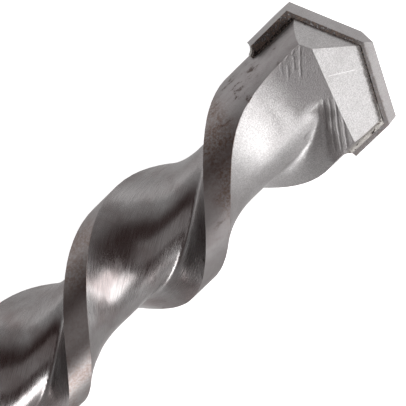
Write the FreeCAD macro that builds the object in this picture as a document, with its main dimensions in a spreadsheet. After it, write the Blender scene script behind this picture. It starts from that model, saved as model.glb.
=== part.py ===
import FreeCAD, Part
import math
import os

# Masonry drill bit, 20 mm: a one-piece steel body with two left-hand flutes
# and a slotted 10 mm hammer-drill shank, and a carbide plate brazed into a
# slot across its head. Everything is drawn about the axis with the point at
# z = 0 and the shank down, then laid along X with the plate flat.

# Sizes in millimetres and degrees.
SIZES = {
    "tip_dia": 20.4,
    "plate_thick": 3.3,
    "plate_depth": 11.5,
    "plate_end_relief": 0.18,
    "plate_end_lead": 0.11,
    "point_slope_deg": 24.0,
    "relief_deg": 29.2,
    "rake_deg": 58.1,
    "edge_offset": 0.67,
    "seam_gap": 0.12,
    "seam_fillet": 0.75,
    "seam_fillet_small": 0.3,
    "seam_foot": 0.9,
    "land_dia": 17.7,
    "web_dia": 9.6,
    "flute_lead": 49.1,
    "flute_end": 84.0,
    "flute_run_out": 6.0,
    "land_deg": 30.3,
    "wall_deg": 18.0,
    "slope_deg": 79.7,
    "slope_tangent": 4.4,
    "root_tangent": 1.02,
    "land_phase_deg": -281.2,
    "head_phase_deg": -140.5,
    "ease_deg": 20.0,
    "head_thick": 10.235,
    "head_depth": 14.8,
    "head_blend": 9.2,
    "notch_depth": 10.4,
    "notch_foot_depth": 12.7,
    "notch_swing_deg": 15.0,
    "steel_lead_slope_deg": 25.0,
    "steel_lead_deg": 62.2,
    "steel_lead_drop": 1.55,
    "steel_trail_deg": 35.8,
    "steel_trail_drop": -0.23,
    "body_len": 200.0,
    "neck_dia": 11.5,
    "neck_end": 134.0,
    "shank_dia": 10.0,
    "shank_chamfer": 1.2,
    "groove_width": 2.8,
    "groove_depth": 1.7,
    "groove_len": 28.0,
    "groove_run_radius": 6.0,
    "recess_ball_dia": 7.0,
    "recess_depth": 1.45,
    "recess_near": 11.2,
    "recess_far": 26.8,
}

doc = FreeCAD.newDocument("masonry_bit")
sheet = doc.addObject("Spreadsheet::Sheet", "sizes")
for row, (name, value) in enumerate(SIZES.items(), start=1):
    sheet.set("A%d" % row, name)
    sheet.set("B%d" % row, "%.4f" % value)
    sheet.setAlias("B%d" % row, name)
doc.recompute()

V = FreeCAD.Vector


def size(name):
    return float(sheet.get(name))


tip_r = size("tip_dia") / 2.0
land_r = size("land_dia") / 2.0
web_r = size("web_dia") / 2.0
half_plate = size("plate_thick") / 2.0
half_head = size("head_thick") / 2.0

# A cutting form passes this far through what it cuts.
OVER = 2.0
# The flutes are drawn in a slightly larger bar, which is then turned down to the lands.
TURNED_OFF = 0.65
BLANK_R = land_r + TURNED_OFF
# The head and the run-outs reach this far into their neighbours, so that they join.
HEAD_LAP = 0.5
NOTCH_LAP = 0.6
# The thin core of the plate's eased ends is drawn this far past its faces.
PAST_FACE = 0.01
# The neck thins to this much less than the web, where the flutes run out over it.
WEB_DIP = 0.3
# The bead under each end of the plate starts this far inside the land.
BEAD_ROOT = 0.3
# A plane of the roofs is drawn this many tip radii wide and deep.
ROOF_WIDE = 1.4
ROOF_DEEP = 4.0
# A braze fillet is hollow by this share of its size.
HOLLOW = 0.14
# Levels of the fluted length in one turn, and points along each stretch of a flute.
LEVELS_A_TURN = 15
SLOPE_POINTS = 2
WEB_POINTS = 4
WALL_POINTS = 5

# Levels along the axis, measured from the point.
head_foot = -size("head_depth")
notch_top = -size("notch_depth")
blend_from = head_foot - HEAD_LAP
blend_to = blend_from - size("head_blend")


def polar(radius, degrees, z):
    a = math.radians(degrees)
    return V(radius * math.cos(a), radius * math.sin(a), z)


def tan(degrees):
    return math.tan(math.radians(degrees))


def smooth(t):
    t = min(1.0, max(0.0, t))
    return t * t * (3.0 - 2.0 * t)


def mix(p, q, t):
    return (p[0] + (q[0] - p[0]) * t, p[1] + (q[1] - p[1]) * t)


# How the two lands wind.
def even_edge(z):
    # Edge of a land on the side of the point, if the lead never changed.
    return size("land_phase_deg") - 360.0 * z / size("flute_lead")


def front_edge(z):
    # The same edge as made: straight beside the plate, then easing into the lead.
    ease = size("ease_deg")
    past = (even_edge(z) - size("head_phase_deg")) / ease
    return size("head_phase_deg") + ease * math.log(1.0 + math.exp(past))


def rear_edge(z):
    # Edge of the same land on the side of the shank.
    return even_edge(z) - size("land_deg")


def bezier(p, q, r):
    curve = Part.BezierCurve()
    curve.setPoles([p, q, r])
    return curve.toShape()


def arc(radius, a0, a1, z):
    mid = (a0 + a1) / 2.0
    return Part.Arc(polar(radius, a0, z), polar(radius, mid, z), polar(radius, a1, z)).toShape()


def rim(p, q, radius):
    # Arc about the axis from p on to q.
    a0 = math.degrees(math.atan2(p.y, p.x))
    a1 = math.degrees(math.atan2(q.y, q.x))
    while a1 < a0:
        a1 += 360.0
    return Part.Arc(p, polar(radius, (a0 + a1) / 2.0, p.z), q).toShape()


def sampled(edge, n):
    a = edge.FirstParameter
    b = edge.LastParameter
    return [edge.valueAt(a + (b - a) * i / n) for i in range(n + 1)]


def smooth_line(points):
    curve = Part.BSplineCurve()
    curve.interpolate(Points=points, Parameters=[float(i) for i in range(len(points))])
    return curve.toShape()


def loft(name, wires, ruled):
    o = doc.addObject("Part::Feature", name)
    o.Shape = Part.makeLoft(wires, True, ruled)
    return o


# The slope of a flute that faces the point, in a frame turned with its land:
# the corner of the land lies on that frame's X axis.
slope_rad = math.radians(size("slope_deg"))
slope_foot = (web_r * math.cos(slope_rad), web_r * math.sin(slope_rad))
slope_mid = (slope_foot[0] + size("slope_tangent") * math.sin(slope_rad),
             slope_foot[1] - size("slope_tangent") * math.cos(slope_rad))
slope_top = (land_r, 0.0)
# Direction square to the flat face of the head, in the same frame.
flat_deg = math.degrees(math.acos(half_head / land_r))


def flat_distance(p):
    a = math.radians(flat_deg)
    return p[0] * math.cos(a) + p[1] * math.sin(a)


def crossing_share():
    # Share of the slope, from the web, at which it passes through the flat face.
    d0 = flat_distance(slope_foot)
    d1 = flat_distance(slope_mid)
    d2 = flat_distance(slope_top)
    a = d0 - 2.0 * d1 + d2
    b = 2.0 * (d1 - d0)
    c = d0 - half_head
    return (-b + math.sqrt(b * b - 4.0 * a * c)) / (2.0 * a)


share = crossing_share()
low_mid = mix(slope_foot, slope_mid, share)
high_mid = mix(slope_mid, slope_top, share)
crossing = mix(low_mid, high_mid, share)
flat_mid = mix(crossing, slope_top, 0.5)
crossing_deg = math.degrees(math.atan2(crossing[1], crossing[0]))


def turned(point, degrees, z):
    a = math.radians(degrees)
    x, y = point
    return V(x * math.cos(a) - y * math.sin(a), x * math.sin(a) + y * math.cos(a), z)


def carried_out(p, q):
    # The point where the line from p through q leaves the blank bar.
    d = V(q.x - p.x, q.y - p.y, 0.0)
    d.normalize()
    b = q.x * d.x + q.y * d.y
    c = q.x ** 2 + q.y ** 2 - BLANK_R ** 2
    return q + d * (math.sqrt(b * b - c) - b)


def root_point(degrees, z):
    # End of the short tangent that rounds the root of the steep wall.
    a = math.radians(degrees)
    along = V(-math.sin(a), math.cos(a), 0.0)
    return polar(web_r, degrees, z) + along * size("root_tangent")


def flute_floor(start, middle, foot_deg, rear, z):
    # From the flat face over the web and its root up the steep wall.
    root = rear - size("wall_deg")
    rise = root_point(root, z)
    out = carried_out(rise, polar(land_r, rear, z))
    points = sampled(bezier(start, middle, polar(web_r, foot_deg, z)), SLOPE_POINTS)
    points += sampled(arc(web_r, foot_deg, root, z), WEB_POINTS)[1:]
    points += sampled(bezier(polar(web_r, root, z), rise, out), WALL_POINTS)[1:]
    return smooth_line(points), out


def half_section(z, spin):
    # One flute, from the front edge of a land round to the rear edge of the next.
    front = front_edge(z) + spin
    rear = rear_edge(z) + spin + 180.0
    hollowed = smooth((blend_from - z) / (blend_from - blend_to))
    mid = turned(mix(flat_mid, high_mid, hollowed), front, z)
    out = carried_out(mid, polar(land_r, front, z))
    start = turned(crossing, front, z)
    floor, end = flute_floor(start, turned(low_mid, front, z), front + size("slope_deg"), rear, z)
    return out, end, [bezier(out, mid, start), floor]


def fluted_section(z):
    front_0, rear_0, flute_0 = half_section(z, 0.0)
    front_1, rear_1, flute_1 = half_section(z, 180.0)
    return Part.Wire([
        *flute_0,
        rim(rear_0, front_1, BLANK_R),
        *flute_1,
        rim(rear_1, front_0, BLANK_R),
    ])


# The fluted length, drawn in the blank bar.
flutes_from = -size("flute_end") - OVER / 2.0
steps = math.ceil((head_foot - flutes_from) / size("flute_lead") * LEVELS_A_TURN)
levels = [flutes_from + (head_foot - flutes_from) * i / steps for i in range(steps + 1)]
fluted = loft("fluted_length", [fluted_section(z) for z in levels], False)


# The flat head, still without its roof and slot.
def head_section(z):
    front = front_edge(z)
    a = polar(land_r, front, z)
    b = polar(land_r, front + 2.0 * flat_deg, z)
    c = V(-a.x, -a.y, z)
    d = V(-b.x, -b.y, z)
    a_out = carried_out(b, a)
    b_out = carried_out(a, b)
    c_out = carried_out(d, c)
    d_out = carried_out(c, d)
    return Part.Wire([
        Part.makeLine(a_out, b_out),
        rim(b_out, c_out, BLANK_R),
        Part.makeLine(c_out, d_out),
        rim(d_out, a_out, BLANK_R),
    ])


# The faces still turn beside the run-outs, and are all but plane above them.
HEAD_STEPS = 5
HEAD_TOP_SHARES = (0.75, 0.4, -0.02)
head_levels = [head_foot + (notch_top - head_foot) * i / HEAD_STEPS for i in range(HEAD_STEPS + 1)]
head_levels += [notch_top * part for part in HEAD_TOP_SHARES]
head_blank = loft("head_blank", [head_section(z) for z in head_levels], False)


# Where a flute runs out under the flat face on the leading side, it keeps its
# two sides, and closes in a V as the steep wall winds over to the slope. Each
# side is drawn from the web out past the blank bar, and back by BACK_DEG.
NOTCH_REACH = BLANK_R + OVER
BACK_DEG = 70.0
NOTCH_STEPS = 4
notch_foot = -size("notch_foot_depth")


def wall_side(z):
    # Everything outside the web, from the steep wall back past the slope.
    rear = rear_edge(z) + 180.0
    swing = size("notch_swing_deg") * smooth((z - notch_foot) / (notch_top - notch_foot))
    root = rear - size("wall_deg") - swing
    rise = root_point(root, z)
    out = carried_out(rise, polar(land_r, rear, z))
    points = sampled(arc(web_r, root - BACK_DEG, root, z), WEB_POINTS)
    points += sampled(bezier(polar(web_r, root, z), rise, out), WALL_POINTS)[1:]
    far_deg = math.degrees(math.atan2(out.y, out.x))
    return Part.Wire([
        smooth_line(points),
        Part.makeLine(out, polar(NOTCH_REACH, far_deg, z)),
        rim(polar(NOTCH_REACH, root - BACK_DEG, z), polar(NOTCH_REACH, far_deg, z), NOTCH_REACH),
        Part.makeLine(polar(NOTCH_REACH, root - BACK_DEG, z), polar(web_r, root - BACK_DEG, z)),
    ])


def slope_side(z):
    # Everything from the slope on towards the steep wall.
    front = front_edge(z)
    foot_deg = front + size("slope_deg")
    start = turned(crossing, front, z)
    foot = polar(web_r, foot_deg, z)
    inner = polar(web_r / 2.0, foot_deg, z)
    beyond_deg = foot_deg + BACK_DEG
    return Part.Wire([
        Part.makeLine(polar(NOTCH_REACH, front + crossing_deg, z), start),
        bezier(start, turned(low_mid, front, z), foot),
        Part.makeLine(foot, inner),
        Part.makeLine(inner, polar(NOTCH_REACH, beyond_deg, z)),
        rim(polar(NOTCH_REACH, front + crossing_deg, z), polar(NOTCH_REACH, beyond_deg, z), NOTCH_REACH),
    ])


notch_span = notch_top + NOTCH_LAP - head_foot
notch_levels = [head_foot - HEAD_LAP]
notch_levels += [head_foot + notch_span * i / NOTCH_STEPS for i in range(NOTCH_STEPS + 1)]
wall_form = loft("notch_wall_side", [wall_side(z) for z in notch_levels], True)
slope_form = loft("notch_slope_side", [slope_side(z) for z in notch_levels], True)
notch = doc.addObject("Part::Feature", "flute_run_out")
notch.Shape = wall_form.Shape.common(slope_form.Shape)
notch_back = doc.addObject("Part::Feature", "flute_run_out_back")
notch_back.Shape = notch.Shape.copy().rotate(V(0, 0, 0), V(0, 0, 1), 180.0)


# The ground roofs of the plate and of the steel, each made of planes.
def below(a, b, c):
    # Everything under the plane z = a x + b y + c.
    reach = ROOF_WIDE * tip_r
    deep = c - (abs(a) + abs(b)) * reach - ROOF_DEEP * tip_r
    corners = [(-reach, -reach), (reach, -reach), (reach, reach), (-reach, reach)]
    top = [V(x, y, a * x + b * y + c) for x, y in corners]
    foot = [V(x, y, deep) for x, y in corners]
    faces = [Part.Face(Part.makePolygon([*foot, foot[0]])), Part.Face(Part.makePolygon([*top, top[0]]))]
    for i in range(4):
        j = (i + 1) % 4
        faces.append(Part.Face(Part.makePolygon([foot[i], foot[j], top[j], top[i], foot[i]])))
    solid = Part.Solid(Part.Shell(faces))
    if solid.Volume < 0:
        solid.reverse()
    return solid


def roof(name, planes):
    # Each plane and its twin half a turn round.
    form = None
    for a, b, c in planes:
        for solid in (below(a, b, c), below(-a, -b, c)):
            form = solid if form is None else form.common(solid)
    o = doc.addObject("Part::Feature", name)
    o.Shape = form
    return o


point_slope = tan(size("point_slope_deg"))
relief = tan(size("relief_deg"))
rake = tan(size("rake_deg"))
plate_roof = roof("plate_roof", [
    (-point_slope, -relief, 0.0),
    (-point_slope, rake, (relief + rake) * size("edge_offset")),
])
head_roof = roof("head_roof", [
    (-tan(size("steel_lead_slope_deg")), tan(size("steel_lead_deg")), size("steel_lead_drop")),
    (point_slope, tan(size("steel_trail_deg")), size("steel_trail_drop")),
])


def bind(o, prop, expression):
    # The cells hold plain numbers, so each expression gets its unit here.
    o.setExpression(prop, "(%s) * 1mm" % expression)


def box(name, along_x, along_y, along_z, base):
    o = doc.addObject("Part::Box", name)
    bind(o, "Length", along_x)
    bind(o, "Width", along_y)
    bind(o, "Height", along_z)
    for axis, place in zip("xyz", base):
        bind(o, ".Placement.Base." + axis, place)
    return o


def round_bar(name, radius, height, base_z):
    o = doc.addObject("Part::Cylinder", name)
    bind(o, "Radius", radius)
    bind(o, "Height", height)
    bind(o, ".Placement.Base.z", base_z)
    return o


def cone(name, low_radius, high_radius, height, base_z):
    o = doc.addObject("Part::Cone", name)
    bind(o, "Radius1", low_radius)
    bind(o, "Radius2", high_radius)
    bind(o, "Height", height)
    bind(o, ".Placement.Base.z", base_z)
    return o


def fuse(name, parts):
    o = doc.addObject("Part::MultiFuse", name)
    o.Shapes = parts
    return o


def cut(name, base, tool):
    o = doc.addObject("Part::Cut", name)
    o.Base = base
    o.Tool = tool
    return o


def common(name, base, tool):
    o = doc.addObject("Part::Common", name)
    o.Base = base
    o.Tool = tool
    return o


def prism(name, corners, base_z, height):
    wire = Part.makePolygon([*corners, corners[0]])
    wire.translate(V(0, 0, base_z))
    o = doc.addObject("Part::Feature", name)
    o.Shape = Part.Face(wire).extrude(V(0, 0, height))
    return o


# The carbide plate: a bar with eased ends under its ground roof.
plate_blank = box("plate_blank", "sizes.tip_dia", "sizes.plate_thick", "sizes.plate_depth + %g" % OVER,
                  ("-sizes.tip_dia / 2", "-sizes.plate_thick / 2", "-sizes.plate_depth"))
ends_plan = []
for side in (1.0, -1.0):
    past_face = half_plate + PAST_FACE
    ends_plan.append(V(side * (tip_r - size("plate_end_lead")), -side * past_face, 0))
    ends_plan.append(V(side * tip_r, -side * size("edge_offset"), 0))
    ends_plan.append(V(side * (tip_r - size("plate_end_relief")), side * past_face, 0))
plate_ends = prism("plate_ends", ends_plan, -size("plate_depth") - OVER, size("plate_depth") + 2.0 * OVER)
plate_ended = common("plate_ended", plate_blank, plate_ends)
plate_ground = common("plate_ground", plate_ended, plate_roof)

# The head: turned, roofed, opened by the two run-outs and slotted for the plate.
head_bar = round_bar("head_bar", "sizes.land_dia / 2", "sizes.head_depth + %g" % (2.0 * OVER),
                     "-sizes.head_depth - %g" % OVER)
run_outs = fuse("run_outs", [notch, notch_back])
slot = box("plate_slot", "sizes.land_dia + %g" % (2.0 * OVER), "sizes.plate_thick + 2 * sizes.seam_gap",
           "sizes.plate_depth + sizes.seam_gap + %g" % OVER,
           ("-sizes.land_dia / 2 - %g" % OVER, "-sizes.plate_thick / 2 - sizes.seam_gap",
            "-sizes.plate_depth - sizes.seam_gap"))
head_turned = common("head_turned", head_blank, head_bar)
head_roofed = common("head_roofed", head_turned, head_roof)
head_fluted = cut("head_fluted", head_roofed, run_outs)
head_slotted = cut("head_slotted", head_fluted, slot)

# The fluted length turned to its lands, which end in a cone down to the neck.
land_bar = round_bar("land_bar", "sizes.land_dia / 2", "sizes.flute_end + %g" % (2.0 * OVER),
                     "-sizes.flute_end - %g" % OVER)
end_cone = cone("lands_end_cone", "sizes.neck_dia / 2", "sizes.land_dia / 2 + %g" % OVER,
                "(sizes.land_dia - sizes.neck_dia) / 2 + %g" % OVER, "-sizes.flute_end")
end_bar = round_bar("lands_bar", "sizes.land_dia / 2 + %g" % OVER, "sizes.flute_end",
                    "-sizes.flute_end + (sizes.land_dia - sizes.neck_dia) / 2 + %g" % OVER)
envelope = fuse("flute_envelope", [end_bar, end_cone])
fluted_turned = common("fluted_turned", fluted, land_bar)
fluted_trimmed = common("fluted_trimmed", fluted_turned, envelope)

# Neck and shank. The neck thins to less than the web where the flutes run out.
neck_front = cone("neck_front", "sizes.neck_dia / 2", "sizes.web_dia / 2 - %g" % WEB_DIP,
                  "sizes.flute_run_out", "-sizes.flute_end")
neck = round_bar("neck", "sizes.neck_dia / 2", "sizes.neck_end - sizes.flute_end", "-sizes.neck_end")
neck_rear = cone("neck_rear", "sizes.shank_dia / 2", "sizes.neck_dia / 2",
                 "(sizes.neck_dia - sizes.shank_dia) / 2",
                 "-sizes.neck_end - (sizes.neck_dia - sizes.shank_dia) / 2")
shank = round_bar("shank", "sizes.shank_dia / 2", "sizes.body_len - sizes.neck_end - sizes.shank_chamfer",
                  "-sizes.body_len + sizes.shank_chamfer")
shank_end = cone("shank_end", "sizes.shank_dia / 2 - sizes.shank_chamfer", "sizes.shank_dia / 2",
                 "sizes.shank_chamfer", "-sizes.body_len")
rear = fuse("rear_solid", [neck_front, neck, neck_rear, shank, shank_end])

# Two drive grooves open to the end of the shank, which run out on an arc.
GROOVE_RUN = "sqrt(2 * sizes.groove_run_radius * sizes.groove_depth - sizes.groove_depth ^ 2)"
shank_cuts = []
for k, side in enumerate((1, -1), start=1):
    floor_x = "sizes.shank_dia / 2 - sizes.groove_depth"
    groove_x = floor_x if side > 0 else "-sizes.shank_dia / 2 - %g" % OVER
    groove = box("drive_groove_%d" % k, "sizes.groove_depth + %g" % OVER, "sizes.groove_width",
                 "sizes.groove_len - %s + %g" % (GROOVE_RUN, OVER),
                 (groove_x, "-sizes.groove_width / 2", "-sizes.body_len - %g" % OVER))
    run = round_bar("drive_groove_run_%d" % k, "sizes.groove_run_radius", "sizes.groove_width",
                    "-sizes.body_len + sizes.groove_len - %s" % GROOVE_RUN)
    run.Placement.Rotation = FreeCAD.Rotation(V(1, 0, 0), 90)
    bind(run, ".Placement.Base.x", "%d * (%s + sizes.groove_run_radius)" % (side, floor_x))
    bind(run, ".Placement.Base.y", "sizes.groove_width / 2")
    shank_cuts += [groove, run]

# Two closed recesses for the locking balls, with round ends.
for k, side in enumerate((1, -1), start=1):
    recess_y = "%d * (sizes.shank_dia / 2 + sizes.recess_ball_dia / 2 - sizes.recess_depth)" % side
    recess = round_bar("ball_recess_%d" % k, "sizes.recess_ball_dia / 2",
                       "sizes.recess_far - sizes.recess_near", "-sizes.body_len + sizes.recess_near")
    bind(recess, ".Placement.Base.y", recess_y)
    shank_cuts.append(recess)
    for end in ("near", "far"):
        ball = doc.addObject("Part::Sphere", "ball_recess_%s_%d" % (end, k))
        bind(ball, "Radius", "sizes.recess_ball_dia / 2")
        bind(ball, ".Placement.Base.y", recess_y)
        bind(ball, ".Placement.Base.z", "-sizes.body_len + sizes.recess_%s" % end)
        shank_cuts.append(ball)
shank_tools = fuse("shank_cuts", shank_cuts)
rear_cut = cut("rear_cut", rear, shank_tools)
steel_fused = fuse("steel_fused", [fluted_trimmed, head_slotted, rear_cut])

# The braze: a layer round the plate, fillets in the corners, a bead under each end.
layer = box("seam_layer", "sizes.land_dia", "sizes.plate_thick + 2 * sizes.seam_gap",
            "sizes.plate_depth + sizes.seam_gap",
            ("-sizes.land_dia / 2", "-sizes.plate_thick / 2 - sizes.seam_gap",
             "-sizes.plate_depth - sizes.seam_gap"))
layer_bar = round_bar("seam_layer_bar", "sizes.land_dia / 2",
                      "sizes.plate_depth + sizes.seam_gap + %g" % (2.0 * OVER),
                      "-sizes.plate_depth - sizes.seam_gap - %g" % OVER)
layer_turned = common("seam_layer_turned", layer, layer_bar)


def on_land(side, y, z):
    return V(side * math.sqrt(land_r ** 2 - y ** 2), y, z)


def corner_fillet(side, edge, leg):
    # side is the sign of the plate's end along X, edge that of its face along Y.
    base = -size("plate_depth") - size("seam_gap")
    near = on_land(side, edge * half_plate, base)
    out = near + V(side * leg, 0, 0)
    low = on_land(side, edge * (half_plate + leg), base)
    middle = on_land(side, edge * (half_plate + leg / 2.0), base)
    bend = (out + low) * 0.5 - V(side, edge, 0) * (HOLLOW * leg)
    wire = Part.Wire([
        Part.makeLine(near, out),
        Part.Arc(out, bend, low).toShape(),
        Part.Arc(low, middle, near).toShape(),
    ])
    return Part.Face(wire).extrude(V(0, 0, size("plate_depth") + OVER / 2.0))


def foot_bead(side):
    leg = size("seam_foot")
    z = -size("plate_depth")
    inside = side * (land_r - leg - BEAD_ROOT)
    out = V(side * (land_r + leg), -half_plate, z)
    low = V(side * land_r, -half_plate, z - leg)
    bend = (out + low) * 0.5 + V(-side, 0, 1) * (HOLLOW * leg)
    under = V(inside, -half_plate, z - leg)
    top = V(inside, -half_plate, z)
    wire = Part.Wire([
        Part.Arc(out, bend, low).toShape(),
        Part.makeLine(low, under),
        Part.makeLine(under, top),
        Part.makeLine(top, out),
    ])
    bead = Part.Face(wire).extrude(V(0, 2.0 * half_plate, 0))
    return bead.cut(Part.makeCylinder(land_r, 2.0 * (leg + OVER), V(0, 0, z - leg - OVER)))


doc.recompute()
bead_solids = [
    corner_fillet(1, -1, size("seam_fillet")),
    corner_fillet(-1, 1, size("seam_fillet")),
    corner_fillet(1, 1, size("seam_fillet_small")),
    corner_fillet(-1, -1, size("seam_fillet_small")),
    foot_bead(1),
    foot_bead(-1),
]
seam_filled = doc.addObject("Part::Feature", "seam_filled")
seam_filled.Shape = layer_turned.Shape.fuse(bead_solids)
seam_roofed = common("seam_roofed", seam_filled, head_roof)
seam_cut = cut("seam_cut", seam_roofed, plate_ground)

# Laid down: point along +X, plate flat, rear face of the shank at x = 0.
laid = FreeCAD.Matrix(0, 0, 1, size("body_len"), -1, 0, 0, 0, 0, -1, 0, 0, 0, 0, 0, 1)


def finished(label, source):
    o = doc.addObject("Part::Refine", label)
    o.Label = label
    o.Source = source
    doc.recompute()
    o.Placement = FreeCAD.Placement(laid)
    return o


nodes = [
    finished("steel_body", steel_fused),
    finished("carbide_plate", plate_ground),
    finished("braze_seam", seam_cut),
]
doc.recompute()

for o in doc.Objects:
    if "Invalid" in o.State or "Error" in o.State:
        raise RuntimeError("broken: " + o.Name)
for node in nodes:
    if node.Shape.isNull() or not node.Shape.isValid():
        raise RuntimeError("bad shape: " + node.Label)

os.makedirs("parts", exist_ok=True)
for node in nodes:
    node.Shape.exportStep("parts/%s.step" % node.Label)
    print(node.Label, len(node.Shape.Solids), "solids", len(node.Shape.Faces), "faces",
          round(node.Shape.Volume, 1), "mm3")
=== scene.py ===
# %% [markdown]
# A masonry drill bit lies on a pale floor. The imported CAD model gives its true
# shape and size; this lesson gives it its metals: grey blasted steel round the
# head, ground flutes behind it, browned lands, rough carbide, and a line of dark
# braze with bright fillets. We start by loading that model as a fixed frame.

# %% Load the frame
import bpy
import math
from mathutils import Matrix, Vector
from mathutils.kdtree import KDTree


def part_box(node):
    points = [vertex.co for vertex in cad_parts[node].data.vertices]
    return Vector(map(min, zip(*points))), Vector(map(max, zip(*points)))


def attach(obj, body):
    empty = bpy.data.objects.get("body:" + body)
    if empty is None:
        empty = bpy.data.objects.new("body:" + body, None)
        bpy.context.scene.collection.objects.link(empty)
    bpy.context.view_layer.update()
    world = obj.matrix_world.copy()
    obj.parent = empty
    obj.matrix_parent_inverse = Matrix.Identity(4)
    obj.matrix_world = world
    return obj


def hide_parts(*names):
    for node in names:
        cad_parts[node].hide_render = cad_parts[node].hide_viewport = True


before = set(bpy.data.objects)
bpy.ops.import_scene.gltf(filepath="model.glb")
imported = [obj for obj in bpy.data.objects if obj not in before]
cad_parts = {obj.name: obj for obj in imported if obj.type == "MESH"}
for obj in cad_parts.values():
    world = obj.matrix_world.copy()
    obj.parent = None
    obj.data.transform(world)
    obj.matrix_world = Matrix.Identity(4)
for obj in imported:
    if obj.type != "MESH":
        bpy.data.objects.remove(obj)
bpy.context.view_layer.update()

STEEL_LOW, STEEL_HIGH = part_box("steel_body")
TIP_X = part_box("carbide_plate")[1].x
FLOOR_Z = STEEL_LOW.z
LAND_R = STEEL_HIGH.z
print("bit length", round(TIP_X, 4), "m, land radius", round(LAND_R, 5), "m")

# %% [markdown]
# A CAD node comes as loose triangles, so light would show each facet. Each piece
# is copied, its doubled corners are merged, and it is shaded smooth across gentle
# angles, so that the flutes reflect as the ground steel does and the corners stay
# sharp. The plain node stays hidden in its place.
#
# Thin triangles can still carry the shading of one surface over to the next. So
# the faces of the body are first sorted by what they are on the real bit: turned
# land, ground roof or milled flute, and every border between two kinds is marked
# sharp.

# %% What a face of the body is
MM = 0.001
LEAD = 49.1 * MM
LAND_SLACK = 0.01 * MM
LAND_LOOK = 0.97
ROOF_FROM_X = TIP_X - 12.5 * MM
ROOF_LOOK = 0.35


def kind_of(mesh, face):
    places = [mesh.vertices[i].co for i in face.vertices]
    radii = [math.hypot(p.y, p.z) for p in places]
    out = Vector((0.0, face.center.y, face.center.z)).normalized()
    if min(radii) > LAND_R - LAND_SLACK and face.normal.dot(out) > LAND_LOOK:
        return "land"
    if face.center.x > ROOF_FROM_X and face.normal.x > ROOF_LOOK:
        return "roof"
    return "flute"


def mark_borders(mesh):
    kinds = [kind_of(mesh, face) for face in mesh.polygons]
    beside = {}
    for face in mesh.polygons:
        for key in face.edge_keys:
            beside.setdefault(key, []).append(kinds[face.index])
    sharp = 0
    for edge in mesh.edges:
        if len(set(beside.get(edge.key, ["none"]))) > 1:
            edge.use_edge_sharp = True
            sharp += 1
    counts = {kind: kinds.count(kind) for kind in sorted(set(kinds))}
    print("marked", sharp, "border edges sharp;", counts)


# %% [markdown]
# The lands are thin bands of one turned cylinder, and the flutes wind evenly
# behind the head. Long triangles tilt their shading, so the true directions are
# given to the normals: straight out from the axis on a land, square to a ground
# face, and square to the helix in a flute. On the milled head, each normal is the
# mean of the surface round it, as the blasting rounded every small step there.

# %% True normals on the body
EVEN_FROM_X = TIP_X - 27.0 * MM
EVEN_TO_X = TIP_X - 80.0 * MM
TURN_RATE = -2.0 * math.pi / LEAD
POINT_AREA = 0.05 * MM * MM
SOFT_RADIUS = 0.5 * MM
SAME_SIDE = 0.4
# The first guess counts this little beside the points round it.
GUESS_WEIGHT = 0.01
# Steps of a sequence that fills a square evenly.
SPREAD_U = 0.7548776662
SPREAD_V = 0.5698402910


def spread_points(mesh, faces):
    # Evenly spread points on some faces, each with the direction of its face.
    points = []
    for face in faces:
        a, b, c = [mesh.vertices[i].co for i in face.vertices]
        for i in range(max(1, round(face.area / POINT_AREA))):
            u = (0.5 + i * SPREAD_U) % 1.0
            v = (0.5 + i * SPREAD_V) % 1.0
            if u + v > 1.0:
                u, v = 1.0 - u, 1.0 - v
            weight = min(1.0, face.area / POINT_AREA)
            points.append((a + (b - a) * u + (c - a) * v, face.normal * weight))
    return points


def surroundings(mesh, faces):
    # A lookup that returns the mean direction of the surface round a place.
    points = spread_points(mesh, faces)
    tree = KDTree(len(points))
    for i, (place, normal) in enumerate(points):
        tree.insert(place, i)
    tree.balance()
    print("head normals read from", len(points), "points")

    def mean_normal(place, guess):
        total = guess * GUESS_WEIGHT
        for found, i, distance in tree.find_range(place, 2.0 * SOFT_RADIUS):
            normal = points[i][1]
            if normal.dot(guess) > SAME_SIDE * normal.length:
                total += normal * math.exp(-(distance / SOFT_RADIUS) ** 2)
        return total.normalized()

    return mean_normal


def true_normals(piece):
    mesh = piece.data
    normals = [corner.vector.copy() for corner in mesh.corner_normals]
    kinds = [kind_of(mesh, face) for face in mesh.polygons]
    milled_from_x = EVEN_FROM_X - 2.0 * SOFT_RADIUS
    flutes = [face for face in mesh.polygons if kinds[face.index] == "flute"]
    mean_normal = surroundings(mesh, [face for face in flutes if face.center.x > milled_from_x])
    for face in mesh.polygons:
        kind = kinds[face.index]
        even = kind == "flute" and EVEN_TO_X < face.center.x < EVEN_FROM_X
        for corner, vertex in zip(face.loop_indices, face.vertices):
            place = mesh.vertices[vertex].co
            if kind == "land":
                normals[corner] = Vector((0.0, place.y, place.z)).normalized()
            elif kind == "roof":
                normals[corner] = face.normal.copy()
            elif kind == "flute" and place.x > EVEN_FROM_X:
                normals[corner] = mean_normal(place, normals[corner])
            elif even:
                along = Vector((1.0, -place.z * TURN_RATE, place.y * TURN_RATE)).normalized()
                n = normals[corner]
                normals[corner] = (n - along * n.dot(along)).normalized()
    mesh.normals_split_custom_set(normals)


# %% [markdown]
# Every piece is made in the same way: a copy of its node, joined at its corners,
# smoothed up to an angle, and weighted by the size of its faces. Only the body
# needs the marked borders and the true normals as well. The copy rides on the root
# and takes the place of its node.

# %% A helper that copies a node as a smooth piece
SMOOTH_ANGLE = math.radians(21.0)
PLATE_ANGLE = math.radians(5.0)
SAME_CORNER = 0.001 * MM
# 50 is neutral. Above it, the large faces round a corner count for even more.
AREA_WEIGHT = 80


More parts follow.
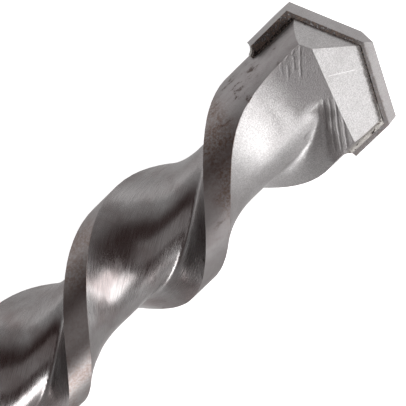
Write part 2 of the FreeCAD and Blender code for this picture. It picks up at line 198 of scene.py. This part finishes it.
def smooth_copy(node, name, angle, is_body=False):
    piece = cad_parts[node].copy()
    piece.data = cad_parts[node].data.copy()
    piece.name = name
    piece.data.name = name
    for key in list(piece.keys()):
        del piece[key]
    piece.parent = None
    bpy.context.scene.collection.objects.link(piece)
    bpy.ops.object.select_all(action="DESELECT")
    piece.select_set(True)
    bpy.context.view_layer.objects.active = piece
    bpy.ops.object.mode_set(mode="EDIT")
    bpy.ops.mesh.select_all(action="SELECT")
    bpy.ops.mesh.remove_doubles(threshold=SAME_CORNER)
    bpy.ops.object.mode_set(mode="OBJECT")
    bpy.ops.object.shade_smooth_by_angle(angle=angle)
    if is_body:
        mark_borders(piece.data)
    bpy.ops.object.modifier_add(type="WEIGHTED_NORMAL")
    weighting = piece.modifiers[-1]
    weighting.mode = "FACE_AREA_WITH_ANGLE"
    weighting.weight = AREA_WEIGHT
    weighting.keep_sharp = True
    bpy.ops.object.modifier_apply(modifier=weighting.name)
    if is_body:
        true_normals(piece)
    bpy.ops.object.select_all(action="DESELECT")
    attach(piece, "root")
    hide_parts(node)
    print(name, len(piece.data.vertices), "vertices", len(piece.data.polygons), "faces")
    return piece


# %% [markdown]
# The bit has three pieces: the steel body, the carbide plate in its slot, and the
# braze that holds the plate. The edges of the plate must stay clear, so it is
# smoothed only across very small angles.

# %% Copy the three pieces
steel = smooth_copy("steel_body", "steel_bit", SMOOTH_ANGLE, is_body=True)
plate = smooth_copy("carbide_plate", "carbide_tip", PLATE_ANGLE)
seam = smooth_copy("braze_seam", "braze_fillets", SMOOTH_ANGLE)

# %% [markdown]
# Materials are node trees on Object coordinates, which are metres in the frame.
# A few small helpers keep each tree readable: one adds a node and sets its
# sockets, one adds noise at a real size, one makes a soft step, and one mixes two
# colours by a mask, which is 0 for the first and 1 for the second.

# %% Helpers for node trees
class Tree:
    def __init__(self, name):
        self.material = bpy.data.materials.new(name)
        self.material.use_nodes = True
        self.nodes = self.material.node_tree.nodes
        self.links = self.material.node_tree.links
        self.shader = self.nodes["Principled BSDF"]
        self.place = self.add("ShaderNodeTexCoord").outputs["Object"]

    def add(self, kind, inputs=None, **settings):
        node = self.nodes.new(kind)
        for key, value in settings.items():
            setattr(node, key, value)
        for key, value in (inputs or {}).items():
            self.feed(node.inputs[key], value)
        return node

    def feed(self, socket, value):
        if isinstance(value, bpy.types.NodeSocket):
            self.links.new(value, socket)
        else:
            socket.default_value = value

    def math(self, operation, a, b=0.0):
        return self.add("ShaderNodeMath", {0: a, 1: b}, operation=operation).outputs[0]

    def times(self, a, b):
        return self.math("MULTIPLY", a, b)

    def against(self, mask):
        # 1 where the mask is 0, and 0 where it is 1.
        return self.math("SUBTRACT", 1.0, mask)

    def split(self, vector):
        return self.add("ShaderNodeSeparateXYZ", {"Vector": vector}).outputs

    def stretched(self, scale):
        return self.add("ShaderNodeMapping", {"Vector": self.place, "Scale": scale}).outputs["Vector"]

    def noise(self, size, detail=2.0, roughness=0.5, vector=None):
        # size is the width of the blobs, in metres.
        inputs = {"Vector": vector or self.place, "Scale": 1.0 / size}
        inputs.update({"Detail": detail, "Roughness": roughness})
        return self.add("ShaderNodeTexNoise", inputs).outputs["Fac"]

    def ragged(self, pattern, reach):
        # A shift to both sides, by which a pattern makes a border uneven.
        return self.times(self.math("SUBTRACT", pattern, 0.5), reach)

    def steps(self, value, low, high):
        # 0 below low, 1 above high, smooth between.
        inputs = {"Value": value, "From Min": low, "From Max": high}
        return self.add("ShaderNodeMapRange", inputs, interpolation_type="SMOOTHSTEP").outputs["Result"]

    def band(self, value, low, high, fade):
        # 1 between low and high, fading to 0 on both sides.
        above = self.steps(value, low - fade, low + fade)
        below = self.against(self.steps(value, high - fade, high + fade))
        return self.times(above, below)

    def mixed(self, mask, low, high):
        node = self.add("ShaderNodeMix", data_type="RGBA")
        self.feed(node.inputs["Factor"], mask)
        self.feed(node.inputs["A"], low)
        self.feed(node.inputs["B"], high)
        return node.outputs["Result"]

    def blend(self, mask, low, high):
        node = self.add("ShaderNodeMix", data_type="FLOAT")
        self.feed(node.inputs["Factor"], mask)
        self.feed(node.inputs["A"], low)
        self.feed(node.inputs["B"], high)
        return node.outputs["Result"]

    def axis(self, name):
        # How far along X, Y or Z of the frame the place lies.
        return self.split(self.place)[name]

    def bump(self, height, distance, under=None):
        inputs = {"Height": height, "Distance": distance, "Strength": 1.0}
        if under is not None:
            inputs["Normal"] = under
        return self.add("ShaderNodeBump", inputs).outputs["Normal"]

    def finish(self, colour, metallic, rough, normal):
        self.feed(self.shader.inputs["Base Color"], colour)
        self.feed(self.shader.inputs["Metallic"], metallic)
        self.feed(self.shader.inputs["Roughness"], rough)
        self.feed(self.shader.inputs["Normal"], normal)
        return self.material


def grey(value, warmth=0.0):
    # A warm grey is a little redder than a plain one.
    return (value * (1.0 + warmth), value, value, 1.0)


# %% [markdown]
# Several marks sit at one place on the bit, such as the milling ripples beside
# the ground roof. Each is a soft mask: a box in a frame that is turned to the
# mark, whose edges fade. The bit is the same after half a turn, and its other
# side carries the same marks, so most masks read the folded place: the one that
# a place on the lower side takes when the bit is turned half round.

# %% Masks for single places
def half_turned(t):
    # The place itself on the upper side, and its twin up there from the lower side.
    z = t.axis("Z")
    folded_y = t.times(t.axis("Y"), t.math("SIGN", z))
    parts = {"X": t.axis("X"), "Y": folded_y, "Z": t.math("ABSOLUTE", z)}
    return t.add("ShaderNodeCombineXYZ", parts).outputs["Vector"]


def turned_about(t, vector, centre, angle):
    # A place turned about an upright axis through centre, split into its parts.
    inputs = {"Vector": vector, "Center": centre, "Angle": angle}
    turned = t.add("ShaderNodeVectorRotate", inputs, rotation_type="Z_AXIS")
    return t.split(turned.outputs["Vector"])


def patch(t, vector, centre, half, fade, angle):
    # centre is in the frame, half is the half length and width, angle turns it about Z.
    turned = turned_about(t, vector, centre, angle)
    mask = None
    for axis, middle, reach in zip("XY", centre, half):
        away = t.math("ABSOLUTE", t.math("SUBTRACT", turned[axis], middle))
        inside = t.against(t.steps(away, reach - fade, reach + fade))
        mask = inside if mask is None else t.times(mask, inside)
    return mask


def face_looks(t, axis):
    # How far the face under a place looks along an axis, from -1 to 1.
    return t.split(t.add("ShaderNodeNewGeometry").outputs["True Normal"])[axis]


# %% [markdown]
# The steel body has two finishes. The head was blasted with grit after brazing,
# which leaves it matte and finely speckled. Further back the flutes keep their
# ground faces, with fine lines along the helix. One material carries both, with
# a mask along the axis, because on the real bit the blast fades out over the
# first turn. More masks tell the turned lands and the ground roof from the rest.

# %% The steel: where each finish lies
BLAST_END = TIP_X - 28.0 * MM
BLAST_FADE = 6.0 * MM
BLAST_BLOB = 5.0 * MM
BLAST_RAGGED = 9.0 * MM
LAND_EDGE = (LAND_R - 0.12 * MM, LAND_R - 0.03 * MM)
ROOF_EDGE = (0.25, 0.35)


def blast_mask(t):
    # 1 on the blasted head and 0 on the ground flutes.
    shift = t.ragged(t.noise(BLAST_BLOB, detail=3.0), BLAST_RAGGED)
    shifted = t.math("ADD", t.axis("X"), shift)
    return t.steps(shifted, BLAST_END - BLAST_FADE, BLAST_END + BLAST_FADE)


def land_mask(t):
    # 1 on the turned lands, by the distance from the axis.
    y, z = t.axis("Y"), t.axis("Z")
    radius = t.math("SQRT", t.math("ADD", t.times(y, y), t.times(z, z)))
    return t.steps(radius, *LAND_EDGE)


def roof_mask(t):
    # 1 on the ground roof and 0 on the milled sides.
    return t.steps(face_looks(t, "X"), *ROOF_EDGE)


# %% [markdown]
# Blasting leaves pale and dark grains and faint clouds. The two flat sides of the head
# were milled in a pass of their own; a painted shade makes them darker.

# %% The blasted head
GRIT_WIDTH = 0.16 * MM
FINE_GRIT_WIDTH = 0.07 * MM
CLOUD_WIDTH = 3.0 * MM
CLOUD_SHARE = 0.4
BLASTED_DARK = grey(0.36, 0.03)
BLASTED_PALE = grey(0.56, 0.02)
BLASTED_CLOUD = grey(0.34, 0.05)
# Painted shade: this darker colour covers the flat sides of the head.
PAINTED_FLAT_SHADE = grey(0.25, 0.04)
PAINTED_FLAT_SHADE_SHARE = 0.65
FLAT_FROM_X = TIP_X - 12.6 * MM
FLAT_FADE = 1.5 * MM
FLAT_EDGE = (0.975, 0.995)


def flat_shade_mask(t):
    # 1 on the two flat sides of the head, where the painted shade goes.
    level = t.steps(t.math("ABSOLUTE", face_looks(t, "Z")), *FLAT_EDGE)
    ahead = t.steps(t.axis("X"), FLAT_FROM_X - FLAT_FADE, FLAT_FROM_X + FLAT_FADE)
    return t.times(level, ahead)


def blasted_colour(t, grit):
    cloud = t.steps(t.noise(CLOUD_WIDTH, detail=3.0, roughness=0.6), 0.45, 0.75)
    colour = t.mixed(t.steps(grit, 0.30, 0.70), BLASTED_DARK, BLASTED_PALE)
    colour = t.mixed(t.times(cloud, CLOUD_SHARE), colour, BLASTED_CLOUD)
    return t.mixed(t.times(flat_shade_mask(t), PAINTED_FLAT_SHADE_SHARE), colour, PAINTED_FLAT_SHADE)


# %% [markdown]
# Grinding drew fine lines along each flute. A line pattern that runs straight
# along X would cross the flutes, so the place is first turned about the axis until
# the helix runs straight, and then squeezed along X to draw the noise out into
# lines. A faint brown film of oil and heat lies over them.

# %% The ground flutes
LINE_WIDTH = 0.16 * MM
LINE_SQUEEZE = (0.06, 1.0, 1.0)
LINE_SHARE = 0.3
FILM_WIDTH = 6.0 * MM
GROUND_PALE = grey(0.40, 0.03)
GROUND_FILM = (0.262, 0.227, 0.224, 1.0)
GROUND_LINE = grey(0.22, 0.05)


def helix_place(t):
    inputs = {"Vector": t.place, "Angle": t.times(t.axis("X"), 2.0 * math.pi / LEAD)}
    turned = t.add("ShaderNodeVectorRotate", inputs, rotation_type="X_AXIS").outputs["Vector"]
    squeezed = t.add("ShaderNodeVectorMath", {0: turned, 1: LINE_SQUEEZE}, operation="MULTIPLY")
    return squeezed.outputs["Vector"]


def ground_colour(t, lines, film):
    colour = t.mixed(t.steps(film, 0.35, 0.70), GROUND_PALE, GROUND_FILM)
    return t.mixed(t.times(t.steps(lines, 0.40, 0.65), LINE_SHARE), colour, GROUND_LINE)


# %% [markdown]
# The lands were turned before the flutes were ground, and are duller. Heat and
# handling left a speckled brown on them in two stretches, and dark stains beside
# and behind the plate.

# %% The lands
STREAK_WIDTH = 0.8 * MM
STREAK_SQUEEZE = (0.5, 1.0, 1.0)
SPECK_WIDTH = 0.35 * MM
STAIN_X = (TIP_X - 30.0 * MM, TIP_X - 9.0 * MM)
STAIN_FADE = 2.0 * MM
STAIN_EDGE = (0.83, 0.93)
STAIN_SHARE = 0.85
# How much the film adds to the streaks where a stain shows.
STAIN_FILM = 0.45
BROWN_X = (TIP_X - 27.8 * MM, TIP_X - 19.5 * MM)
BROWN_FADE = 1.8 * MM
BROWN_REAR_X = (TIP_X - 43.0 * MM, TIP_X - 40.0 * MM)
BROWN_SHARES = (0.45, 1.0)
LAND_PALE = grey(0.37, 0.05)
LAND_DARK = grey(0.30, 0.08)
BROWN = (0.195, 0.122, 0.092, 1.0)
STAIN = (0.085, 0.045, 0.030, 1.0)


def stain_mask(t, streaks, film):
    blots = t.steps(t.math("ADD", streaks, t.times(film, STAIN_FILM)), *STAIN_EDGE)
    return t.times(blots, t.band(t.axis("X"), *STAIN_X, STAIN_FADE))


def brown_mask(t, film):
    x = t.axis("X")
    rear = t.against(t.steps(x, *BROWN_REAR_X))
    where = t.math("MAXIMUM", t.band(x, *BROWN_X, BROWN_FADE), rear)
    specks = t.steps(t.noise(SPECK_WIDTH, detail=3.0, roughness=0.7), 0.30, 0.65)
    share = t.blend(t.steps(film, 0.40, 0.55), *BROWN_SHARES)
    return t.times(t.times(where, specks), share)


def land_colour(t, streaks, film, stain):
    colour = t.mixed(t.steps(streaks, 0.35, 0.7), LAND_PALE, LAND_DARK)
    colour = t.mixed(brown_mask(t, film), colour, BROWN)
    return t.mixed(t.times(stain, STAIN_SHARE), colour, STAIN)


# %% [markdown]
# Flux burns black when the plate is brazed in. On each side of the bit it left a
# crust on the steel under one end of the plate, and a thin uneven line along the
# slot.

# %% Burnt flux on the steel
FLUX_X = (TIP_X - 12.8 * MM, TIP_X - 11.2 * MM)
FLUX_END_Y = (5.0 * MM, 7.0 * MM)
CRUST_EDGE = (1.80 * MM, 2.05 * MM)
FLUX_LINE_EDGE = (1.85 * MM, 2.20 * MM)
FLUX_LINE_SHARE = 0.8
FLUX_BLOT = 0.5 * MM
# How far the border wanders, against its own width.
FLUX_RAGGED = 1.6
FLUX_DARK = (0.010, 0.008, 0.007, 1.0)
FLUX_PALE = (0.16, 0.12, 0.10, 1.0)


def beside_plate(t, start, end):
    # 1 at the slot and 0 further off, by the height above or below the plate's middle.
    blots = t.noise(FLUX_BLOT, detail=4.0, roughness=0.7)
    shift = t.ragged(blots, FLUX_RAGGED * (end - start))
    away = t.math("ADD", t.math("ABSOLUTE", t.axis("Z")), shift)
    return t.against(t.steps(away, start, end))


def flux_mask(t, folded):
    ahead = t.steps(t.axis("X"), *FLUX_X)
    at_end = t.times(t.steps(t.split(folded)["Y"], *FLUX_END_Y), ahead)
    crust = t.times(beside_plate(t, *CRUST_EDGE), at_end)
    line = t.times(beside_plate(t, *FLUX_LINE_EDGE), ahead)
    return t.math("MAXIMUM", crust, t.times(line, FLUX_LINE_SHARE))


# %% [markdown]
# The cutter left two rows of ripples on the milled steel: a short one at the edge
# of each flat side, and a longer one where the flute closes under the roof. They
# are shallow, so a bump carries them, with a painted shade darkening the colour in
# the grooves. One thin scratch crosses the roof on the upper side only.

# %% Tool marks and the scratch
# Each row has the middle of its patch, its half length and width, its fade, the
# turn that lays the marks along X, the pitch, and how far they wander.
MARKS_EDGE = {
    "centre": (TIP_X - 9.3 * MM, 5.8 * MM, 5.5 * MM),
    "half": (2.0 * MM, 1.6 * MM),
    "fade": 0.9 * MM,
    "angle": math.radians(-51.0),
    "pitch": 0.80 * MM,
    "wander": 0.5 * MM,
}
MARKS_ROOF = {
    "centre": (TIP_X - 10.8 * MM, -4.1 * MM, 4.8 * MM),
    "half": (3.4 * MM, 1.7 * MM),
    "fade": 0.6 * MM,
    "angle": math.radians(-56.0),
    "pitch": 0.75 * MM,
    "wander": 0.4 * MM,
}
MARK_SHARPNESS = 2.5
MARK_GAP_WIDTH = 1.1 * MM
WANDER_WIDTH = 3.0 * MM
# Painted shade: the colour darkens in the grooves of the tool marks.
GROOVE_PAINTED_SHADE = grey(0.16, 0.05)
GROOVE_SHADE_SHARE = 0.30
SCRATCH = (TIP_X - 5.75 * MM, -0.06 * MM, 3.8 * MM)
SCRATCH_HALF = (1.9 * MM, 0.04 * MM)
SCRATCH_FADE = 0.04 * MM
SCRATCH_TURN = math.radians(37.8)
SCRATCH_SHINE = grey(0.9)
SCRATCH_SHARE = 0.5


def ripples(t, vector, centre, half, fade, angle, pitch, wander):
    # Parallel tool marks: 1 in the narrow grooves and 0 between them.
    mask = patch(t, vector, centre, half, fade, angle)
    across = turned_about(t, vector, centre, angle)["Y"]
    shift = t.times(t.noise(WANDER_WIDTH, detail=1.0), wander)
    phase = t.times(t.math("ADD", across, shift), 2.0 * math.pi / pitch)
    wave = t.math("ADD", t.times(t.math("SINE", phase), 0.5), 0.5)
    return t.times(t.math("POWER", wave, MARK_SHARPNESS), mask)


def tool_marks(t, folded, land, roof):
    edge_marks = ripples(t, folded, **MARKS_EDGE)
    edge_marks = t.times(edge_marks, t.steps(t.noise(MARK_GAP_WIDTH), 0.35, 0.60))
    both = t.math("MAXIMUM", edge_marks, ripples(t, folded, **MARKS_ROOF))
    return t.times(both, t.against(t.math("MAXIMUM", land, roof)))


def scratch_mask(t, roof):
    line = patch(t, t.place, SCRATCH, SCRATCH_HALF, SCRATCH_FADE, SCRATCH_TURN)
    upper = t.math("GREATER_THAN", t.axis("Z"), 0.0)
    return t.times(t.times(line, upper), roof)


# %% [markdown]
# Now the steel is put together. Its colour goes from the ground and the blasted
# finish to the lands, the flux, the marks and the scratch. Burnt flux and stains
# aren't bare metal, so they are less metallic, and the flux is rough as well. The
# bump carries dents on the head and faint lines in the flutes, over the softer
# tool marks.

# %% The steel
BLASTED_ROUGH = 0.38
GROUND_ROUGH = (0.22, 0.34)
LAND_ROUGH = 0.42
LAND_ROUGH_SHARE = 0.6
FLUX_ROUGH = 0.75
# How much of a land's colour covers the ground flutes' and the blasted head's.
LAND_SHARES = (0.55, 0.95)
# How far flux and stains hide the bare metal.
FLUX_COVER = 0.9
STAIN_COVER = 0.8
MARK_DEPTH = 0.022 * MM
DENT_DEPTH = 0.036 * MM
LINE_RELIEF = 0.10
GRIT_RELIEF = 0.7
FINE_GRIT_RELIEF = 0.3


def steel_material():
    t = Tree("bit_steel")
    blast = blast_mask(t)
    land = land_mask(t)
    roof = roof_mask(t)
    folded = half_turned(t)
    grit = t.noise(GRIT_WIDTH, detail=2.0, roughness=0.6)
    fine_grit = t.noise(FINE_GRIT_WIDTH, detail=1.0, roughness=0.5)
    lines = t.noise(LINE_WIDTH, detail=3.0, roughness=0.7, vector=helix_place(t))
    film = t.noise(FILM_WIDTH, detail=3.0, roughness=0.55)
    streaks = t.noise(STREAK_WIDTH, detail=5.0, roughness=0.7, vector=t.stretched(STREAK_SQUEEZE))
    stain = stain_mask(t, streaks, film)
    flux = flux_mask(t, folded)
    marks = tool_marks(t, folded, land, roof)

    colour = t.mixed(blast, ground_colour(t, lines, film), blasted_colour(t, grit))
    land_share = t.times(land, t.blend(blast, *LAND_SHARES))
    colour = t.mixed(land_share, colour, land_colour(t, streaks, film, stain))
    colour = t.mixed(flux, colour, t.mixed(t.steps(grit, 0.35, 0.75), FLUX_DARK, FLUX_PALE))
    # Painted shade in the grooves of the tool marks.
    colour = t.mixed(t.times(marks, GROOVE_SHADE_SHARE), colour, GROOVE_PAINTED_SHADE)
    colour = t.mixed(t.times(scratch_mask(t, roof), SCRATCH_SHARE), colour, SCRATCH_SHINE)

    rough = t.blend(blast, t.blend(t.steps(lines, 0.35, 0.7), *GROUND_ROUGH), BLASTED_ROUGH)
    rough = t.blend(t.times(land, LAND_ROUGH_SHARE), rough, LAND_ROUGH)
    rough = t.blend(flux, rough, FLUX_ROUGH)
    stained = t.times(stain, t.times(land, STAIN_COVER))
    covered = t.math("MAXIMUM", t.times(flux, FLUX_COVER), stained)

    dents = t.math("ADD", t.times(grit, GRIT_RELIEF), t.times(fine_grit, FINE_GRIT_RELIEF))
    relief = t.blend(blast, t.times(lines, LINE_RELIEF), dents)
    soft = t.bump(t.against(marks), MARK_DEPTH)
    return t.finish(colour, t.against(covered), rough, t.bump(relief, DENT_DEPTH, under=soft))


# %% [markdown]
# Carbide is pressed and sintered powder, darker than steel and evenly matte.
# The same blast roughened it, so it has a finer grain of its own. Burnt flux
# crusts its broad faces where they stand out of the steel, thickly on the leading
# half of each face and thinly on the other.

# %% The carbide
CARBIDE_GRAIN = 0.12 * MM
CARBIDE_CLOUD_WIDTH = 2.5 * MM
CARBIDE_DARK = grey(0.35, 0.04)
CARBIDE_PALE = grey(0.47, 0.04)
CARBIDE_CLOUD = grey(0.30, 0.07)
CARBIDE_CLOUD_SHARE = 0.3
CARBIDE_ROUGH = 0.48
CARBIDE_DENT_DEPTH = 0.02 * MM
CRUMB_WIDTH = 0.35 * MM
CRUMB_RAGGED = 0.9 * MM
BROAD_FACE = (1.50 * MM, 1.66 * MM)
CRUST_LEADING_Y = (-1.0 * MM, 2.0 * MM)
CRUST_SHARES = (0.35, 0.90)
CRUST_DARK = (0.020, 0.014, 0.011, 1.0)
CRUST_PALE = (0.25, 0.18, 0.14, 1.0)
CRUST_ROUGH = 0.75
CRUST_COVER = 0.9
CRUST_DEPTH = 0.08 * MM


def plate_crust(t, crumbs):
    outward = t.math("ADD", t.math("ABSOLUTE", t.axis("Z")), t.ragged(crumbs, CRUMB_RAGGED))
    leading = t.steps(t.split(half_turned(t))["Y"], *CRUST_LEADING_Y)
    return t.times(t.steps(outward, *BROAD_FACE), t.blend(leading, *CRUST_SHARES))


def carbide_material():
    t = Tree("blasted_carbide")
    grit = t.noise(CARBIDE_GRAIN, detail=2.0, roughness=0.6)
    cloud = t.steps(t.noise(CARBIDE_CLOUD_WIDTH, detail=3.0, roughness=0.6), 0.45, 0.7)
    crumbs = t.noise(CRUMB_WIDTH, detail=4.0, roughness=0.7)
    crust = plate_crust(t, crumbs)
    colour = t.mixed(t.steps(grit, 0.30, 0.70), CARBIDE_DARK, CARBIDE_PALE)
    colour = t.mixed(t.times(cloud, CARBIDE_CLOUD_SHARE), colour, CARBIDE_CLOUD)
    colour = t.mixed(crust, colour, t.mixed(t.steps(crumbs, 0.42, 0.62), CRUST_DARK, CRUST_PALE))
    metallic = t.against(t.times(crust, CRUST_COVER))
    rough = t.blend(crust, CARBIDE_ROUGH, CRUST_ROUGH)
    lumps = t.bump(t.times(crust, crumbs), CRUST_DEPTH)
    return t.finish(colour, metallic, rough, t.bump(grit, CARBIDE_DENT_DEPTH, under=lumps))


# %% [markdown]
# The braze flowed up round the plate. It kept burnt flux in its pores, so the
# thin layer is nearly black, while the thick fillets show rough bright metal.

# %% The braze
BRAZE_GRAIN = 0.22 * MM
BRAZE_BLOT = 0.5 * MM
THIN_FROM_Y = (-7.4 * MM, -6.4 * MM)
BRAZE_BLACK = (0.012, 0.009, 0.008, 1.0)
BRAZE_BROWN = (0.24, 0.185, 0.155, 1.0)
BRAZE_GREY = (0.30, 0.28, 0.26, 1.0)
BRAZE_BRIGHT = (0.62, 0.60, 0.57, 1.0)
# Each pair goes from the burnt braze to the bare metal.
BRAZE_METALLIC = (0.2, 0.9)
BRAZE_ROUGH = (0.75, 0.42)
BRAZE_DEPTH = 0.12 * MM


def braze_material():
    t = Tree("burnt_braze")
    grit = t.noise(BRAZE_GRAIN, detail=4.0, roughness=0.7)
    thick = t.against(t.steps(t.split(half_turned(t))["Y"], *THIN_FROM_Y))
    blots = t.steps(t.noise(BRAZE_BLOT, detail=3.0, roughness=0.6), 0.34, 0.46)
    bare = t.times(thick, blots)
    dark = t.mixed(t.steps(grit, 0.45, 0.62), BRAZE_BLACK, BRAZE_BROWN)
    colour = t.mixed(bare, dark, t.mixed(grit, BRAZE_GREY, BRAZE_BRIGHT))
    metallic = t.blend(bare, *BRAZE_METALLIC)
    rough = t.blend(bare, *BRAZE_ROUGH)
    return t.finish(colour, metallic, rough, t.bump(grit, BRAZE_DEPTH))


# %% [markdown]
# Each piece gets its own material in place of the model's plain one, and a slot
# name that says which metal it is.

# %% Give each piece its metal
for piece, make in ((steel, steel_material), (plate, carbide_material), (seam, braze_material)):
    material = make()
    piece.data.materials.clear()
    piece.data.materials.append(material)
    print(piece.name, "wears", material.name)

# %% [markdown]
# The floor is a large pale plane under the bit. The camera sees it as white, with
# a trace of the bit's soft shadow. The metal mirrors it as grey, and as nearly
# dark on the side of the soft box, which is a painted shade in the reflections only.

# %% Floor
FLOOR_WIDTH = 40.0 * TIP_X
FLOOR_COLOUR = grey(0.8)
FLOOR_ROUGH = 0.9
FLOOR_SEEN = 0.95
FLOOR_MIRRORED = 0.42
FLOOR_PAINTED_SHADE = 0.04
SHADE_WIDTH = 25.0 * MM


def floor_material():
    t = Tree("pale_floor")
    # Painted shade: the floor that the metal mirrors is nearly dark on the soft box's side.
    far_side = t.steps(t.axis("Y"), -SHADE_WIDTH, 0.0)
    ahead = t.steps(t.axis("X"), TIP_X - SHADE_WIDTH / 2.0, TIP_X + SHADE_WIDTH)
    lit = t.blend(t.math("MAXIMUM", far_side, ahead), FLOOR_PAINTED_SHADE, FLOOR_MIRRORED)
    ray = t.add("ShaderNodeLightPath").outputs
    seen = t.times(ray["Is Camera Ray"], FLOOR_SEEN)
    mirrored = t.times(ray["Is Glossy Ray"], lit)
    t.feed(t.shader.inputs["Base Color"], FLOOR_COLOUR)
    t.feed(t.shader.inputs["Roughness"], FLOOR_ROUGH)
    t.feed(t.shader.inputs["Emission Color"], grey(1.0))
    t.feed(t.shader.inputs["Emission Strength"], t.math("ADD", seen, mirrored))
    return t.material


bpy.ops.object.select_all(action="DESELECT")
bpy.ops.mesh.primitive_plane_add(size=FLOOR_WIDTH, location=(0.0, 0.0, FLOOR_Z))
floor = bpy.context.active_object
floor.name = "floor"
floor.data.materials.append(floor_material())
print("floor at", round(FLOOR_Z, 5), "m")

# %% [markdown]
# A studio picture of bright steel is a picture of what it mirrors. The room is pale
# round the horizon and dark brown above, which draws the deep reflections.

# %% World
CEILING = (0.058, 0.035, 0.033, 1.0)
HORIZON = grey(0.42, 0.01)
# How far up a direction points, from -1 to 1: below the first of these it meets
# the horizon's colour, and above the second the ceiling's.
CEILING_EDGE = (0.28, 0.70)
world = bpy.data.worlds.new("studio")
bpy.context.scene.world = world
world.use_nodes = True
nodes = world.node_tree.nodes
links = world.node_tree.links
direction = nodes.new("ShaderNodeTexCoord")
split = nodes.new("ShaderNodeSeparateXYZ")
height = nodes.new("ShaderNodeMapRange")
height.interpolation_type = "SMOOTHSTEP"
height.inputs["From Min"].default_value = CEILING_EDGE[0]
height.inputs["From Max"].default_value = CEILING_EDGE[1]
sky = nodes.new("ShaderNodeMix")
sky.data_type = "RGBA"
sky.inputs["A"].default_value = HORIZON
sky.inputs["B"].default_value = CEILING
links.new(direction.outputs["Generated"], split.inputs["Vector"])
links.new(split.outputs["Z"], height.inputs["Value"])
links.new(height.outputs["Result"], sky.inputs["Factor"])
links.new(sky.outputs["Result"], nodes["Background"].inputs["Color"])
print("the room turns from horizon to ceiling between", CEILING_EDGE)

# %% [markdown]
# One large soft box stands on the right of the bit and gives the white bands, with
# a small one low beside it for the ground roof, one behind for the flutes, and a
# weak one overhead. They all shine on one place on the axis, behind the head, and
# stand at one distance from it.

# %% Lamps
LIT_PLACE = Vector((TIP_X - 20.0 * MM, 0.0, 0.0))
LAMP_DISTANCE = 0.6


def lamp(name, toward, width, height, power):
    place = LIT_PLACE + Vector(toward).normalized() * LAMP_DISTANCE
    bpy.ops.object.light_add(type="AREA", location=place)
    light = bpy.context.active_object
    light.name = name
    light.data.shape = "RECTANGLE"
    light.data.size = width
    light.data.size_y = height
    light.data.energy = power
    light.rotation_euler = (LIT_PLACE - place).to_track_quat("-Z", "Y").to_euler()
    print(name, "lights at", power, "W")


lamp("soft_box", toward=(0.348, -0.713, 0.609), width=0.43, height=0.42, power=1.92)
lamp("side_box", toward=(0.804, -0.542, 0.242), width=0.20, height=0.20, power=0.31)
lamp("rear_box", toward=(-0.503, -0.805, 0.315), width=0.20, height=0.30, power=0.95)
lamp("overhead", toward=(-0.250, 0.050, 0.970), width=0.44, height=0.44, power=0.18)

# %% [markdown]
# The camera looks down on the lying bit from the photograph's angle, with the
# same distance and lens: the lens follows from how fast the flutes shrink.

# %% Camera
CAMERA_PLACE = (0.185505, 0.031994, 0.122231)
CAMERA_RIGHT = Vector((0.713984, -0.693754, 0.094509))
CAMERA_UP = Vector((0.689368, 0.672935, -0.268195))
CAMERA_LENS = 85.8
SENSOR_WIDTH = 36.0
NEAREST_SEEN = 5.0 * MM
camera_data = bpy.data.cameras.new("view")
camera = bpy.data.objects.new("view", camera_data)
bpy.context.scene.collection.objects.link(camera)
back = CAMERA_RIGHT.cross(CAMERA_UP)
turn = Matrix((CAMERA_RIGHT, CAMERA_UP, back)).transposed()
camera.matrix_world = Matrix.Translation(CAMERA_PLACE) @ turn.to_4x4()
camera_data.lens = CAMERA_LENS
camera_data.sensor_width = SENSOR_WIDTH
camera_data.clip_start = NEAREST_SEEN
bpy.context.scene.camera = camera
bpy.context.scene.view_settings.view_transform = "Standard"
print("camera at", CAMERA_PLACE, "with a lens of", CAMERA_LENS, "mm")
